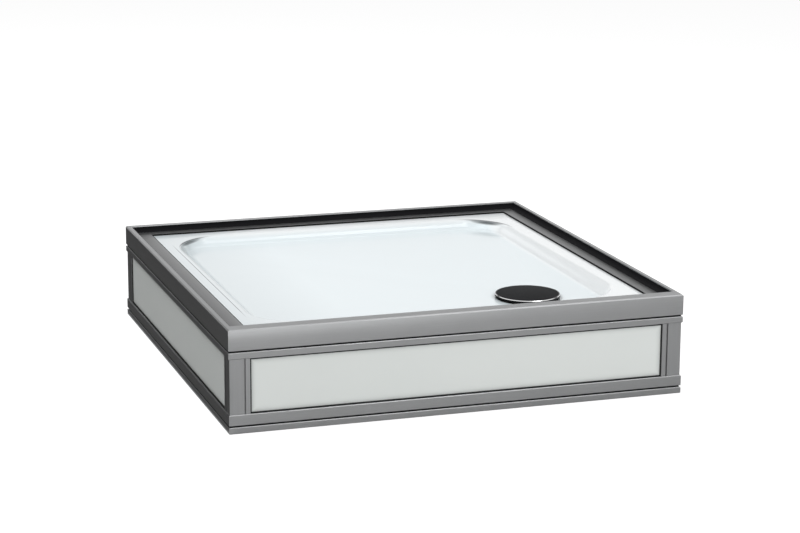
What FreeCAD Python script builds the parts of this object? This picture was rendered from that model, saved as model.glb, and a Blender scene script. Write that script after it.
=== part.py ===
import FreeCAD, Part
import math
import os

# A square shower tray: a white shell held by its rim in a framed aluminium base with glass aprons.
# Millimetres. Z is up, X runs along the front and Y from the front to the back.
# The origin is at floor level, in the middle of the base.

V = FreeCAD.Vector
UP = V(0, 0, 1)
ORIGIN = V(0, 0, 0)
SIDES = ["front", "right", "back", "left"]
CORNERS = ["front_left", "front_right", "back_right", "back_left"]

# ---------------------------------------------------------------- driving dimensions

side_length = 800.0          # outer side of the square base
total_height = 175.0         # floor to the top of the lips

# stack of rails, from the floor up
base_rail_height = 11.0
groove_height = 2.5          # dark joint between two rails
bottom_rail_height = 18.5
mid_rail_height = 11.0
upper_profile_height = 36.0
rail_depth = 28.0            # from the outer face inwards
rail_wall = 1.8
rail_chamfer = 1.0
groove_recess = 2.5          # joint strip behind the outer face

# upper profile
lip_width = 9.0
lip_height = 11.0            # lip above the ledge
lip_chamfer = 2.0
threshold_width = 25.0       # wide lip over the front side
ledge_width = 32.0           # from the lip's inner face to the ledge's edge
flange_thickness = 2.2
slot_back = 18.0             # from the outer face to the back of the slot for the tray's rim
liner_thickness = 1.2
liner_seat_depth = 0.6       # shallow seat in the ledge, so that the strip's toe ends flush
liner_radius = 9.0           # hollow round of the dark strip in the rebate
seal_thickness = 0.8         # seal between the flange and the tray's rim
seal_edge = 1.2              # seal over the flange's edge
seal_reach = 11.0            # how far the seal runs under the flange
bedding_thickness = 1.5
bedding_width = 8.0
bedding_inset = 1.0          # tape behind the shelf's edge
strip_end_gap = 0.2          # between soft strips where they meet at a corner

# tray shell
tray_thickness = 4.0
tray_rim_clearance = 1.0
tray_outer_radius = 10.0
basin_inset = 64.0           # from the outer face to where the basin starts to fall
basin_depth = 16.0           # at the foot of the wall
basin_fall = 6.0             # floor fall from the wall's foot to the drain
roll_radius = 24.0           # convex round at the top of the basin's wall
foot_radius = 14.0           # hollow round at the foot of the wall
wall_angle = math.radians(50)
corner_radius_top = 75.0
corner_radius_waist = 30.0
corner_radius_floor = 46.0
round_steps = 3              # flat steps that stand for each round of the wall

# reinforcement under the floor
board_thickness = 25.0       # at the foot of the basin's wall
board_inset = 108.0          # from the outer face to the board's edge
board_corner_radius = 40.0
board_drain_clearance = 10.0

# aprons
post_inset = 2.0             # post behind the rails' outer face
post_width = 24.0
post_wall = 1.8
post_port_radius = 5.0
stile_gap = 3.0              # open groove between a post and a stile
stile_face = 7.5
stile_depth = 10.0
stile_tongue_depth = 6.0
panel_clearance = 0.1
gasket_face = 2.2
gasket_recess = 1.0          # gasket behind the stile's face
gasket_depth = 8.0
gasket_wall = 1.0
pane_recess = 1.5            # pane behind the gasket's face
pane_thickness = 5.0
catch_width = 10.0
catch_depth = 9.0
catch_height = 14.0
catch_inset = 16.0           # middle of a catch from the apron's top or bottom

# joining pieces of the frame
cleat_leg = 55.0
cleat_clearance = 0.1
post_screw_radius = 2.0
post_screw_head_radius = 4.0
post_screw_head_height = 3.0
post_screw_grip = 22.0       # length in the post's port
screw_hole_clearance = 0.3
thread_clearance = 0.02
tie_plate_width = 30.0
tie_plate_thickness = 3.0
tie_plate_place = 220.0      # from the middle of a side
tie_plate_end_gap = 3.0      # below the upper profile's shelf and above the floor
tie_screw_radius = 2.0
tie_screw_length = 10.0
tie_screw_head_radius = 4.0
tie_screw_head_height = 2.4

# waste
drain_from_right = 210.0     # from the outer faces to the drain's axis
drain_from_front = 193.0
drain_hole_radius = 45.0
land_clearance = 0.5         # between the waste flange and the edge of its land
land_edge = 3.5              # from the land's edge to where the sloping floor starts
land_boss_wall = 5.5
waste_flange_width = 11.0    # past the hole in the tray
waste_flange_thickness = 1.7
waste_neck_wall = 2.2
waste_neck_clearance = 0.4
waste_neck_length = 24.0
upper_gasket_thickness = 0.8
lower_gasket_thickness = 1.5
gasket_margin = 1.0
trap_flange_thickness = 6.0
trap_collar_wall = 5.4
trap_thread_clearance = 0.05
trap_shoulder_width = 2.4    # seat of the insert's collar
trap_wall = 4.0
trap_height = 96.0
trap_bottom = 3.0
neck_end_gap = 0.5
insert_clearance = 0.2
insert_collar_thickness = 3.0
dip_tube_radius = 26.0
dip_tube_wall = 3.0
dip_tube_end_gap = 8.0
strainer_thickness = 2.0
strainer_hole_radius = 3.0
strainer_rings = 3
strainer_inner_holes = 6     # the second ring has twice as many, and so on
strainer_ring_pitch = 9.5
strainer_stem_radius = 4.0
strainer_knob_radius = 9.0
strainer_knob_height = 4.0
strainer_knob_gap = 7.0      # under the cover
outlet_radius = 20.0
outlet_wall = 3.0
outlet_gap = 3.0             # from the collar's underside down to the spigot
outlet_spigot_length = 30.0
outlet_seal_thickness = 1.0
outlet_nut_wall = 5.9
outlet_nut_length = 30.0
outlet_nut_clearance = 0.1
elbow_run = 20.0
elbow_bend_radius = 36.0
socket_bore_radius = 20.1
socket_wall = 3.9
socket_length = 24.0
socket_neck = 6.0            # straight run between the bend and the socket

# drain cover
cover_overhang = 1.5         # past the waste flange
cover_gap = 3.0              # water way under the cover
cover_thickness = 4.5
cover_rim_thickness = 1.2    # lower rim of the plate, under the bright ring
cover_bevel = 2.7
cover_ring_width = 3.3
cover_ring_drop = 0.1
cover_fit = 0.05
cover_peg_radius = 3.0
cover_peg_inset = 6.0        # from the waste flange's edge to a peg's axis
cover_peg_count = 4

# levelling feet
foot_inset = 30.0            # from the board's edges to a foot's axis
foot_pad_radius = 24.0
foot_pad_height = 6.0
foot_pad_chamfer = 1.5
foot_hub_sides = 6
foot_hub_radius = 14.0
foot_hub_height = 14.0
foot_stud_radius = 8.0
foot_stud_rise = 4.0         # stud above the board's underside
foot_bore_clearance = 0.05
foot_travel_up = 6.0
foot_hole_clearance = 1.0
foot_end_gap = 2.0
foot_socket_radius = 17.0
foot_socket_height = 16.0

# ---------------------------------------------------------------- worked out from them

half = side_length / 2
base_rail_top = base_rail_height
bottom_rail_z = base_rail_top + groove_height
bottom_rail_top = bottom_rail_z + bottom_rail_height
upper_z = total_height - upper_profile_height
mid_rail_top = upper_z - groove_height
mid_rail_z = mid_rail_top - mid_rail_height
ledge_z = total_height - lip_height
ledge_edge = lip_width + ledge_width
liner_seat_z = ledge_z - liner_seat_depth
liner_edge = lip_width + liner_thickness + liner_radius
flange_z = ledge_z - flange_thickness
rim_z = flange_z - seal_thickness
rim_underside = rim_z - tray_thickness
shelf_z = rim_underside - bedding_thickness
basin_half = half - basin_inset
floor_z = rim_z - basin_depth
drain_floor_z = floor_z - basin_fall
drain_x = half - drain_from_right
drain_y = -half + drain_from_front
land_z = drain_floor_z - waste_flange_thickness - upper_gasket_thickness
land_underside = land_z - tray_thickness
waste_flange_radius = drain_hole_radius + waste_flange_width
land_radius = waste_flange_radius + land_clearance
drain_floor_radius = land_radius + land_edge
tray_half = half - slot_back - tray_rim_clearance
board_half = half - board_inset
board_bottom = floor_z - board_thickness
post_end = post_inset + post_width
post_axis = post_inset + post_width / 2
stile_start = post_end + stile_gap
stile_end = stile_start + stile_face
stile_back = post_inset + stile_depth
gasket_front = post_inset + gasket_recess
pane_front = gasket_front + pane_recess
apron_z = bottom_rail_top + panel_clearance
apron_top = mid_rail_z - panel_clearance
trap_top = land_underside - lower_gasket_thickness
neck_outer = drain_hole_radius - waste_neck_clearance
neck_inner = neck_outer - waste_neck_wall
neck_z = land_z + upper_gasket_thickness - waste_neck_length
shoulder_z = neck_z - neck_end_gap
collar_bore = neck_outer + trap_thread_clearance
trap_inner_radius = neck_inner - trap_shoulder_width
trap_outer_radius = trap_inner_radius + trap_wall
trap_z = trap_top - trap_height
outlet_z = shoulder_z - trap_wall - outlet_gap - outlet_radius
outlet_bore = outlet_radius - outlet_wall
outlet_nut_bore = outlet_radius + outlet_nut_clearance
insert_collar_z = shoulder_z + insert_collar_thickness
cover_z = drain_floor_z + cover_gap
cover_radius = waste_flange_radius + cover_overhang
cover_peg_circle = waste_flange_radius - cover_peg_inset
foot_place = board_half - foot_inset
spigot_end = trap_outer_radius + outlet_spigot_length
elbow_start = spigot_end + outlet_seal_thickness
elbow_bend_start = elbow_start + elbow_run
foot_stud_top = board_bottom + foot_stud_rise
margin = 5.0                 # how far cutting shapes run past what they cut


# ---------------------------------------------------------------- helpers

def box(x0, x1, y0, y1, z0, z1):
    """Box between two corners."""
    return Part.makeBox(x1 - x0, y1 - y0, z1 - z0, V(x0, y0, z0))


def rod(x, y, z0, z1, radius):
    """Upright cylinder."""
    return Part.makeCylinder(radius, z1 - z0, V(x, y, z0), UP)


def tube(x, y, z0, z1, outer, inner):
    """Upright tube, open at both ends."""
    return rod(x, y, z0, z1, outer).cut(rod(x, y, z0 - margin, z1 + margin, inner))


def section(points, u):
    """Flat face at X = u from points of depth behind the front face and height."""
    corners = [V(u, -half + depth, z) for depth, z in points]
    return Part.Face(Part.makePolygon(corners + corners[:1]))


def bar(points, u0, u1):
    """Straight bar along the front side with a cross-section of depth and height points."""
    return section(points, u0).extrude(V(u1 - u0, 0, 0))


def wedge(end_gap=0.0):
    """Triangle from the middle to the front side's two corners, which cuts 45 degree mitres."""
    shift = end_gap * math.sqrt(0.5)
    corners = [V(-half, -half - shift, -margin), V(half, -half - shift, -margin), V(0, -shift, -margin)]
    return Part.Face(Part.makePolygon(corners + corners[:1])).extrude(UP * (total_height + 2 * margin))


def mitred(points, end_gap=0.0):
    """Bar along the whole front side with its ends mitred, and a gap to the next bar if asked."""
    return bar(points, -half, half).common(wedge(end_gap))


def turned(shape, quarter):
    """Copy of a front piece turned about the middle, by quarter turns, to another side."""
    copy = shape.copy()
    copy.rotate(ORIGIN, UP, 90 * quarter)
    return copy


def rounded_square(half_side, radius, z):
    """Closed wire of four lines and four arcs, starting at the front side's left end."""
    reach = half_side - radius
    edges = []
    for quarter in range(4):
        turn = FreeCAD.Rotation(UP, 90 * quarter)
        start = turn.multVec(V(-reach, -half_side, z))
        end = turn.multVec(V(reach, -half_side, z))
        diagonal = radius * math.sqrt(0.5)
        middle = turn.multVec(V(reach + diagonal, -reach - diagonal, z))
        after = turn.multVec(V(half_side, -reach, z))
        edges.append(Part.makeLine(start, end))
        edges.append(Part.Arc(end, middle, after).toShape())
    return Part.Wire(edges)


def drain_circle(radius, z):
    """Circle round the drain in eight arcs that match the edges of a rounded square."""
    edges = []
    side_angle = math.radians(60)
    corner_angle = math.radians(30)
    angle = math.radians(-90) - side_angle / 2
    for quarter in range(4):
        for sweep in (side_angle, corner_angle):
            ring = [V(drain_x + radius * math.cos(a), drain_y + radius * math.sin(a), z)
                    for a in (angle, angle + sweep / 2, angle + sweep)]
            edges.append(Part.Arc(*ring).toShape())
            angle += sweep
    return Part.Wire(edges)


def wall_profile():
    """Steps of the basin's wall as (inset, drop): a convex round, a slope and a hollow round."""
    steps = []
    for step in range(round_steps + 1):
        angle = wall_angle * step / round_steps
        steps.append((roll_radius * math.sin(angle), roll_radius * (1 - math.cos(angle))))
    foot_run = foot_radius * math.sin(wall_angle)
    foot_drop = foot_radius * (1 - math.cos(wall_angle))
    slope_drop = basin_depth - steps[-1][1] - foot_drop
    foot_start = steps[-1][0] + slope_drop / math.tan(wall_angle)
    for step in range(round_steps + 1):
        angle = wall_angle * (1 - step / round_steps)
        inset = foot_start + foot_run - foot_radius * math.sin(angle)
        drop = basin_depth - foot_radius * (1 - math.cos(angle))
        steps.append((inset, drop))
    return steps


def corner_radius(drop):
    """Corner radius of the basin at a depth: tight half way down, wider at rim and floor."""
    along = 2 * drop / basin_depth - 1
    end_radius = corner_radius_top if along < 0 else corner_radius_floor
    return corner_radius_waist + (end_radius - corner_radius_waist) * along * along


def basin(lowered):
    """Solid that fills the basin up to the rim, moved down by the given amount."""
    wires = []
    for inset, drop in wall_profile():
        z = rim_z - drop - lowered
        wires.append(rounded_square(basin_half - inset, corner_radius(drop), z))
    wires.append(drain_circle(drain_floor_radius, drain_floor_z - lowered))
    return Part.makeLoft(wires, True, True)


def hollow_rail(z0, z1):
    """Mitred rectangular tube with its two outer edges chamfered."""
    outer = [(rail_chamfer, z0), (rail_depth, z0), (rail_depth, z1), (rail_chamfer, z1),
             (0, z1 - rail_chamfer), (0, z0 + rail_chamfer)]
    inner = [(rail_wall, z0 + rail_wall), (rail_depth - rail_wall, z0 + rail_wall),
             (rail_depth - rail_wall, z1 - rail_wall), (rail_wall, z1 - rail_wall)]
    return mitred(outer).cut(mitred(inner))


# ---------------------------------------------------------------- screws and their holes

def tie_screw_heights():
    """Height of each screw of a tie plate: the middle of each rail's inner wall."""
    return [base_rail_top / 2, (bottom_rail_z + bottom_rail_top) / 2,
            (mid_rail_z + mid_rail_top) / 2, (upper_z + shelf_z) / 2]


def tie_drill(radius, height, place):
    """Cylinder along the screw's axis through the inner wall of a front rail and the tie plate."""
    start = V(place, -half + rail_depth - rail_wall - margin, height)
    length = margin + rail_wall + tie_plate_thickness + margin
    return Part.makeCylinder(radius, length, start, V(0, 1, 0))


def drilled_for_ties(rail, height):
    """Front rail with its two screw holes at a height."""
    for place in (-tie_plate_place, tie_plate_place):
        rail = rail.cut(tie_drill(tie_screw_radius + thread_clearance, height, place))
    return rail


def drilled_for_posts(rail, z0, z1):
    """Front rail with the holes for the screws of the posts at both of its ends."""
    for x in (-half + post_axis, half - post_axis):
        hole = rod(x, -half + post_axis, z0, z1, post_screw_head_radius + screw_hole_clearance)
        rail = rail.cut(hole)
    return rail


# ---------------------------------------------------------------- frame

def base_rail():
    return drilled_for_ties(hollow_rail(0, base_rail_top), tie_screw_heights()[0])


def bottom_rail():
    rail = drilled_for_ties(hollow_rail(bottom_rail_z, bottom_rail_top), tie_screw_heights()[1])
    return drilled_for_posts(rail, bottom_rail_z - margin, bottom_rail_top + margin)


def mid_rail():
    rail = drilled_for_ties(hollow_rail(mid_rail_z, mid_rail_top), tie_screw_heights()[2])
    return drilled_for_posts(rail, mid_rail_z - margin, mid_rail_top + margin)


def groove_strip(z0):
    """Dark strip between two rails, set back from their outer faces."""
    return mitred([(groove_recess, z0), (rail_depth, z0),
                   (rail_depth, z0 + groove_height), (groove_recess, z0 + groove_height)],
                  strip_end_gap)


def wide_lip():
    """Box behind the front side's narrow lip that makes it a threshold."""
    reach = half - lip_width
    return box(-reach, reach, -half + lip_width, -half + threshold_width, liner_seat_z, total_height)


def upper_profile(quarter):
    """Profile with a chamber, a slot for the tray's rim, a ledge and a lip, wide at the front."""
    outer = mitred([(rail_chamfer, upper_z), (rail_depth, upper_z), (rail_depth, shelf_z),
                    (slot_back, shelf_z), (slot_back, flange_z), (ledge_edge, flange_z),
                    (ledge_edge, ledge_z), (liner_edge, ledge_z), (liner_edge, liner_seat_z),
                    (lip_width, liner_seat_z), (lip_width, total_height),
                    (lip_chamfer, total_height), (0, total_height - lip_chamfer),
                    (0, upper_z + rail_chamfer)])
    chamber = mitred([(rail_wall, upper_z + rail_wall), (rail_depth - rail_wall, upper_z + rail_wall),
                      (rail_depth - rail_wall, shelf_z - rail_wall),
                      (slot_back - rail_wall, shelf_z - rail_wall),
                      (slot_back - rail_wall, ledge_z - rail_wall),
                      (lip_width - rail_wall, ledge_z - rail_wall),
                      (lip_width - rail_wall, total_height - rail_wall),
                      (rail_wall, total_height - rail_wall)])
    screw_height = tie_screw_heights()[3]
    if quarter > 0:
        return turned(drilled_for_ties(outer.cut(chamber), screw_height), quarter).cut(wide_lip())
    reach = half - lip_width - rail_wall
    inside = threshold_width - rail_wall
    lip_chamber = box(-reach, reach, -half + lip_width / 2, -half + inside,
                      ledge_z + rail_wall, total_height - rail_wall)
    profile = outer.fuse(wide_lip()).removeSplitter().cut(chamber.fuse(lip_chamber))
    return drilled_for_ties(profile, screw_height)


def channel_liner(quarter):
    """Dark strip with a hollow round in the corner of lip and ledge, up to the front lip."""
    centre = V(-half, -half + liner_edge, ledge_z + liner_radius)
    slant = liner_radius * math.sqrt(0.5)
    top = centre + V(0, -liner_radius, 0)
    middle = centre + V(0, -slant, -slant)
    toe = centre + V(0, 0, -liner_radius)
    toe_foot = V(-half, toe.y, liner_seat_z)
    corner = V(-half, -half + lip_width, liner_seat_z)
    head = V(-half, corner.y, top.z)
    edges = [Part.makeLine(corner, toe_foot), Part.makeLine(toe_foot, toe),
             Part.Arc(toe, middle, top).toShape(), Part.makeLine(top, head),
             Part.makeLine(head, corner)]
    strip = Part.Face(Part.Wire(edges)).extrude(V(side_length, 0, 0)).common(wedge())
    return turned(strip, quarter).cut(wide_lip())


def rim_seal():
    """Soft seal under the flange, turned up over the flange's edge."""
    edge = ledge_edge + seal_edge
    return mitred([(ledge_edge - seal_reach, rim_z), (edge, rim_z), (edge, ledge_z),
                   (ledge_edge, ledge_z), (ledge_edge, flange_z), (ledge_edge - seal_reach, flange_z)],
                  strip_end_gap)


def rim_bedding():
    """Soft tape between the shelf and the underside of the tray's rim."""
    inner = rail_depth - bedding_inset
    return mitred([(inner - bedding_width, shelf_z), (inner, shelf_z),
                   (inner, rim_underside), (inner - bedding_width, rim_underside)], strip_end_gap)


# ---------------------------------------------------------------- aprons

def corner_post():
    """Square post of the front left corner with a screw port in the middle."""
    low = -half + post_inset
    high = -half + post_end
    outer = box(low, high, low, high, bottom_rail_top, mid_rail_z)
    inner = box(low + post_wall, high - post_wall, low + post_wall, high - post_wall,
                bottom_rail_top - margin, mid_rail_z + margin)
    axis = -half + post_axis
    port = rod(axis, axis, bottom_rail_top, mid_rail_z, post_port_radius)
    web = post_wall / 2
    webs = box(low + web, high - web, axis - web, axis + web, bottom_rail_top, mid_rail_z).fuse(
        box(axis - web, axis + web, low + web, high - web, bottom_rail_top, mid_rail_z))
    post = outer.cut(inner).fuse([port, webs]).removeSplitter()
    bore = rod(axis, axis, bottom_rail_top - margin, mid_rail_z + margin,
               post_screw_radius + thread_clearance)
    return post.cut(bore)


def stiles():
    """Two upright edge strips of the front apron, each with a tongue behind the open groove."""
    outline = [(stile_start, post_inset), (stile_end, post_inset), (stile_end, stile_back),
               (post_end + panel_clearance, stile_back),
               (post_end + panel_clearance, stile_tongue_depth), (stile_start, stile_tongue_depth)]
    strips = []
    for hand in (-1, 1):
        corners = [V(hand * (half - u), -half + v, apron_z) for u, v in outline]
        face = Part.Face(Part.makePolygon(corners + corners[:1]))
        strips.append(face.extrude(UP * (apron_top - apron_z)))
    return strips


def apron_box(inset, front, depth):
    """Box in the front apron's opening, inset all round."""
    reach = half - stile_end - inset
    return box(-reach, reach, -half + front, -half + front + depth, apron_z + inset, apron_top - inset)


def glass_pane():
    return apron_box(gasket_wall, pane_front, pane_thickness)


def glazing_gasket():
    """Channel gasket that wraps the edge of the pane."""
    ring = apron_box(0, gasket_front, gasket_depth)
    opening = apron_box(gasket_face, gasket_front - margin, gasket_depth + 2 * margin)
    return ring.cut(opening).cut(glass_pane())


def panel_catches():
    """Four catches behind the front apron's stiles, fixed to the sides of the posts."""
    blocks = []
    for hand in (-1, 1):
        ends = sorted([hand * (half - post_end), hand * (half - post_end - catch_width)])
        for middle in (apron_z + catch_inset, apron_top - catch_inset):
            blocks.append(box(ends[0], ends[1], -half + stile_back, -half + stile_back + catch_depth,
                              middle - catch_height / 2, middle + catch_height / 2))
    return blocks


# ---------------------------------------------------------------- joining pieces

def corner_cleat(z0, z1, screw_from_below):
    """Block in the chambers of two rails at the front left corner, bored for a post's screw."""
    low = -half + rail_wall + cleat_clearance
    high = -half + rail_depth - rail_wall - cleat_clearance
    bottom = z0 + rail_wall
    top = z1 - rail_wall
    cleat = box(low, low + cleat_leg, low, high, bottom, top).fuse(
        box(low, high, low, low + cleat_leg, bottom, top)).removeSplitter()
    axis = -half + post_axis
    cleat = cleat.cut(rod(axis, axis, z0, z1, post_screw_radius + screw_hole_clearance))
    head_radius = post_screw_head_radius + screw_hole_clearance
    if screw_from_below:
        return cleat.cut(rod(axis, axis, z0, bottom + post_screw_head_height, head_radius))
    return cleat.cut(rod(axis, axis, top - post_screw_head_height, z1, head_radius))


def post_screws():
    """Screws of the front left post, one up from the bottom rail and one down from the mid rail."""
    axis = -half + post_axis
    low = bottom_rail_z + rail_wall
    high = mid_rail_top - rail_wall
    lower = rod(axis, axis, low, low + post_screw_head_height, post_screw_head_radius).fuse(
        rod(axis, axis, low + post_screw_head_height, bottom_rail_top + post_screw_grip,
            post_screw_radius))
    upper = rod(axis, axis, high - post_screw_head_height, high, post_screw_head_radius).fuse(
        rod(axis, axis, mid_rail_z - post_screw_grip, high - post_screw_head_height,
            post_screw_radius))
    return [lower.removeSplitter(), upper.removeSplitter()]


def tie_plates():
    """Two flat plates behind the front side that hold its four rails together."""
    plates = []
    for place in (-tie_plate_place, tie_plate_place):
        plate = box(place - tie_plate_width / 2, place + tie_plate_width / 2, -half + rail_depth,
                    -half + rail_depth + tie_plate_thickness, tie_plate_end_gap,
                    shelf_z - tie_plate_end_gap)
        for height in tie_screw_heights():
            plate = plate.cut(tie_drill(tie_screw_radius + screw_hole_clearance, height, place))
        plates.append(plate)
    return plates


def tie_screws():
    """Eight screws through the front side's tie plates into the rails' inner walls."""
    screws = []
    seat = -half + rail_depth + tie_plate_thickness
    for place in (-tie_plate_place, tie_plate_place):
        for height in tie_screw_heights():
            head = Part.makeCylinder(tie_screw_head_radius, tie_screw_head_height,
                                     V(place, seat, height), V(0, 1, 0))
            shank = Part.makeCylinder(tie_screw_radius, tie_screw_length,
                                      V(place, seat, height), V(0, -1, 0))
            screws.append(head.fuse(shank).removeSplitter())
    return screws


# ---------------------------------------------------------------- tray

def tray_shell():
    """Thin shell: a flat rim, a basin with soft walls, a sloping floor and a land for the waste."""
    rim = rounded_square(tray_half, tray_outer_radius, rim_underside)
    slab = Part.Face(rim).extrude(UP * tray_thickness)
    boss = rod(drain_x, drain_y, land_underside, drain_floor_z, land_radius + land_boss_wall)
    shell = slab.fuse([basin(tray_thickness), boss]).cut(basin(0))
    land = rod(drain_x, drain_y, land_z, drain_floor_z + margin, land_radius)
    hole = rod(drain_x, drain_y, land_underside - margin, drain_floor_z, drain_hole_radius)
    return shell.cut(land).cut(hole)


def underbody_board():
    """Stiff board bonded under the floor, with holes for the waste and for the feet."""
    outline = rounded_square(board_half, board_corner_radius, board_bottom)
    board = Part.Face(outline).extrude(UP * (floor_z - board_bottom)).cut(basin(tray_thickness))
    drain = rod(drain_x, drain_y, board_bottom - margin, floor_z,
                waste_flange_radius + board_drain_clearance)
    board = board.cut(drain)
    top = foot_stud_top + foot_travel_up + foot_end_gap
    for x, y in foot_places():
        board = board.cut(rod(x, y, board_bottom - margin, top, foot_stud_radius + foot_hole_clearance))
    return board


# ---------------------------------------------------------------- waste

def waste_flange():
    """Flange on the land with a neck that screws down into the trap."""
    bottom = land_z + upper_gasket_thickness
    plate = rod(drain_x, drain_y, bottom, bottom + waste_flange_thickness, waste_flange_radius)
    neck = rod(drain_x, drain_y, neck_z, bottom, neck_outer)
    bore = rod(drain_x, drain_y, neck_z - margin, drain_floor_z + margin, neck_inner)
    return plate.fuse(neck).removeSplitter().cut(bore)


def waste_seals():
    """Gaskets above and below the land, and the ring between trap and elbow."""
    inner = drain_hole_radius + gasket_margin
    outer = waste_flange_radius - gasket_margin
    upper = tube(drain_x, drain_y, land_z, land_z + upper_gasket_thickness, outer, inner)
    lower = tube(drain_x, drain_y, trap_top, land_underside, outer, inner)
    ring = Part.makeCylinder(outlet_radius, outlet_seal_thickness,
                             V(drain_x, drain_y + spigot_end, outlet_z), V(0, 1, 0))
    bore = Part.makeCylinder(outlet_bore, outlet_seal_thickness + 2 * margin,
                             V(drain_x, drain_y + spigot_end - margin, outlet_z), V(0, 1, 0))
    return [upper, lower, ring.cut(bore)]


def trap_body():
    """Cup with a clamping flange, a threaded collar and a side outlet."""
    body = rod(drain_x, drain_y, trap_top - trap_flange_thickness, trap_top, waste_flange_radius)
    collar = rod(drain_x, drain_y, shoulder_z - trap_wall, trap_top, collar_bore + trap_collar_wall)
    cup = rod(drain_x, drain_y, trap_z, trap_top, trap_outer_radius)
    spigot = Part.makeCylinder(outlet_radius, spigot_end, V(drain_x, drain_y, outlet_z), V(0, 1, 0))
    body = body.fuse([collar, cup, spigot]).removeSplitter()
    thread = rod(drain_x, drain_y, shoulder_z, trap_top + margin, collar_bore)
    chamber = rod(drain_x, drain_y, trap_z + trap_bottom, shoulder_z, trap_inner_radius)
    way = Part.makeCylinder(outlet_bore, spigot_end + margin, V(drain_x, drain_y, outlet_z), V(0, 1, 0))
    return body.cut(thread).cut(chamber).cut(way)


def trap_insert():
    """Lift-out dip tube whose collar rests on the trap's shoulder."""
    collar = rod(drain_x, drain_y, shoulder_z, insert_collar_z, neck_inner - insert_clearance)
    dip = rod(drain_x, drain_y, trap_z + trap_bottom + dip_tube_end_gap, shoulder_z, dip_tube_radius)
    bore = rod(drain_x, drain_y, trap_z, insert_collar_z + margin, dip_tube_radius - dip_tube_wall)
    return collar.fuse(dip).removeSplitter().cut(bore)


def hair_strainer():
    """Disc with rings of holes and a pull knob, lying on the insert's collar."""
    top = insert_collar_z + strainer_thickness
    disc = rod(drain_x, drain_y, insert_collar_z, top, neck_inner - insert_clearance)
    for ring in range(1, strainer_rings + 1):
        circle = strainer_ring_pitch * ring + strainer_stem_radius
        holes = strainer_inner_holes * ring
        for step in range(holes):
            angle = 2 * math.pi * step / holes
            disc = disc.cut(rod(drain_x + circle * math.cos(angle), drain_y + circle * math.sin(angle),
                                insert_collar_z - margin, top + margin, strainer_hole_radius))
    knob_top = cover_z - strainer_knob_gap
    stem = rod(drain_x, drain_y, top, knob_top, strainer_stem_radius)
    knob = rod(drain_x, drain_y, knob_top - strainer_knob_height, knob_top, strainer_knob_radius)
    return disc.fuse([stem, knob]).removeSplitter()


def outlet_nut():
    """Round nut over the joint of spigot and elbow."""
    start = V(drain_x, drain_y + spigot_end - outlet_nut_length / 2, outlet_z)
    nut = Part.makeCylinder(outlet_nut_bore + outlet_nut_wall, outlet_nut_length, start, V(0, 1, 0))
    return nut.cut(Part.makeCylinder(outlet_nut_bore, outlet_nut_length, start, V(0, 1, 0)))


def elbow_core(radius):
    """Solid along the elbow's centre line: a run back, a quarter bend and a leg down."""
    run = Part.makeCylinder(radius, elbow_run, V(drain_x, drain_y + elbow_start, outlet_z), V(0, 1, 0))
    bend_start = V(drain_x, drain_y + elbow_bend_start, outlet_z)
    ring = Part.Face(Part.Wire(Part.makeCircle(radius, bend_start, V(0, 1, 0))))
    bend = ring.revolve(V(drain_x, bend_start.y, outlet_z - elbow_bend_radius), V(1, 0, 0), -90)
    leg_y = bend_start.y + elbow_bend_radius
    leg_top = outlet_z - elbow_bend_radius
    leg = rod(drain_x, leg_y, leg_top - socket_neck, leg_top, radius)
    return run.fuse([bend, leg])


def outlet_elbow():
    """Bend from the trap down to a socket for the waste pipe."""
    leg_y = drain_y + elbow_bend_start + elbow_bend_radius
    socket_top = outlet_z - elbow_bend_radius - socket_neck
    outer_radius = socket_bore_radius + socket_wall
    socket = rod(drain_x, leg_y, socket_top - socket_length, socket_top, outer_radius)
    cavity = rod(drain_x, leg_y, socket_top - socket_length, socket_top, socket_bore_radius)
    cap = rod(drain_x, leg_y, socket_top, socket_top + outlet_wall, outer_radius)
    outside = elbow_core(outlet_radius).fuse([socket, cap]).removeSplitter()
    return outside.cut(elbow_core(outlet_bore).fuse(cavity))


def drain_cover():
    """Round plate with a thin lower rim, standing on pegs."""
    rim = rod(drain_x, drain_y, cover_z, cover_z + cover_rim_thickness, cover_radius)
    plate = rod(drain_x, drain_y, cover_z, cover_z + cover_thickness,
                cover_radius - cover_ring_width - cover_fit)
    pegs = []
    for step in range(cover_peg_count):
        angle = 2 * math.pi * (step + 0.5) / cover_peg_count
        pegs.append(rod(drain_x + cover_peg_circle * math.cos(angle),
                        drain_y + cover_peg_circle * math.sin(angle),
                        drain_floor_z, cover_z, cover_peg_radius))
    return rim.fuse([plate] + pegs).removeSplitter()


def cover_ring():
    """Bright bevelled ring round the plate's edge."""
    inner = cover_radius - cover_ring_width
    bottom = cover_z + cover_rim_thickness
    top = cover_z + cover_thickness - cover_ring_drop
    outline = [(inner, bottom), (cover_radius, bottom), (cover_radius, top - cover_bevel),
               (cover_radius - cover_bevel, top), (inner, top)]
    corners = [V(drain_x + radius, drain_y, z) for radius, z in outline]
    face = Part.Face(Part.makePolygon(corners + corners[:1]))
    return face.revolve(V(drain_x, drain_y, 0), UP, 360)


# ---------------------------------------------------------------- feet

def foot_places():
    """Places of the feet, in the order of the corners."""
    return [(-foot_place, -foot_place), (foot_place, -foot_place),
            (foot_place, foot_place), (-foot_place, foot_place)]


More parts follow.
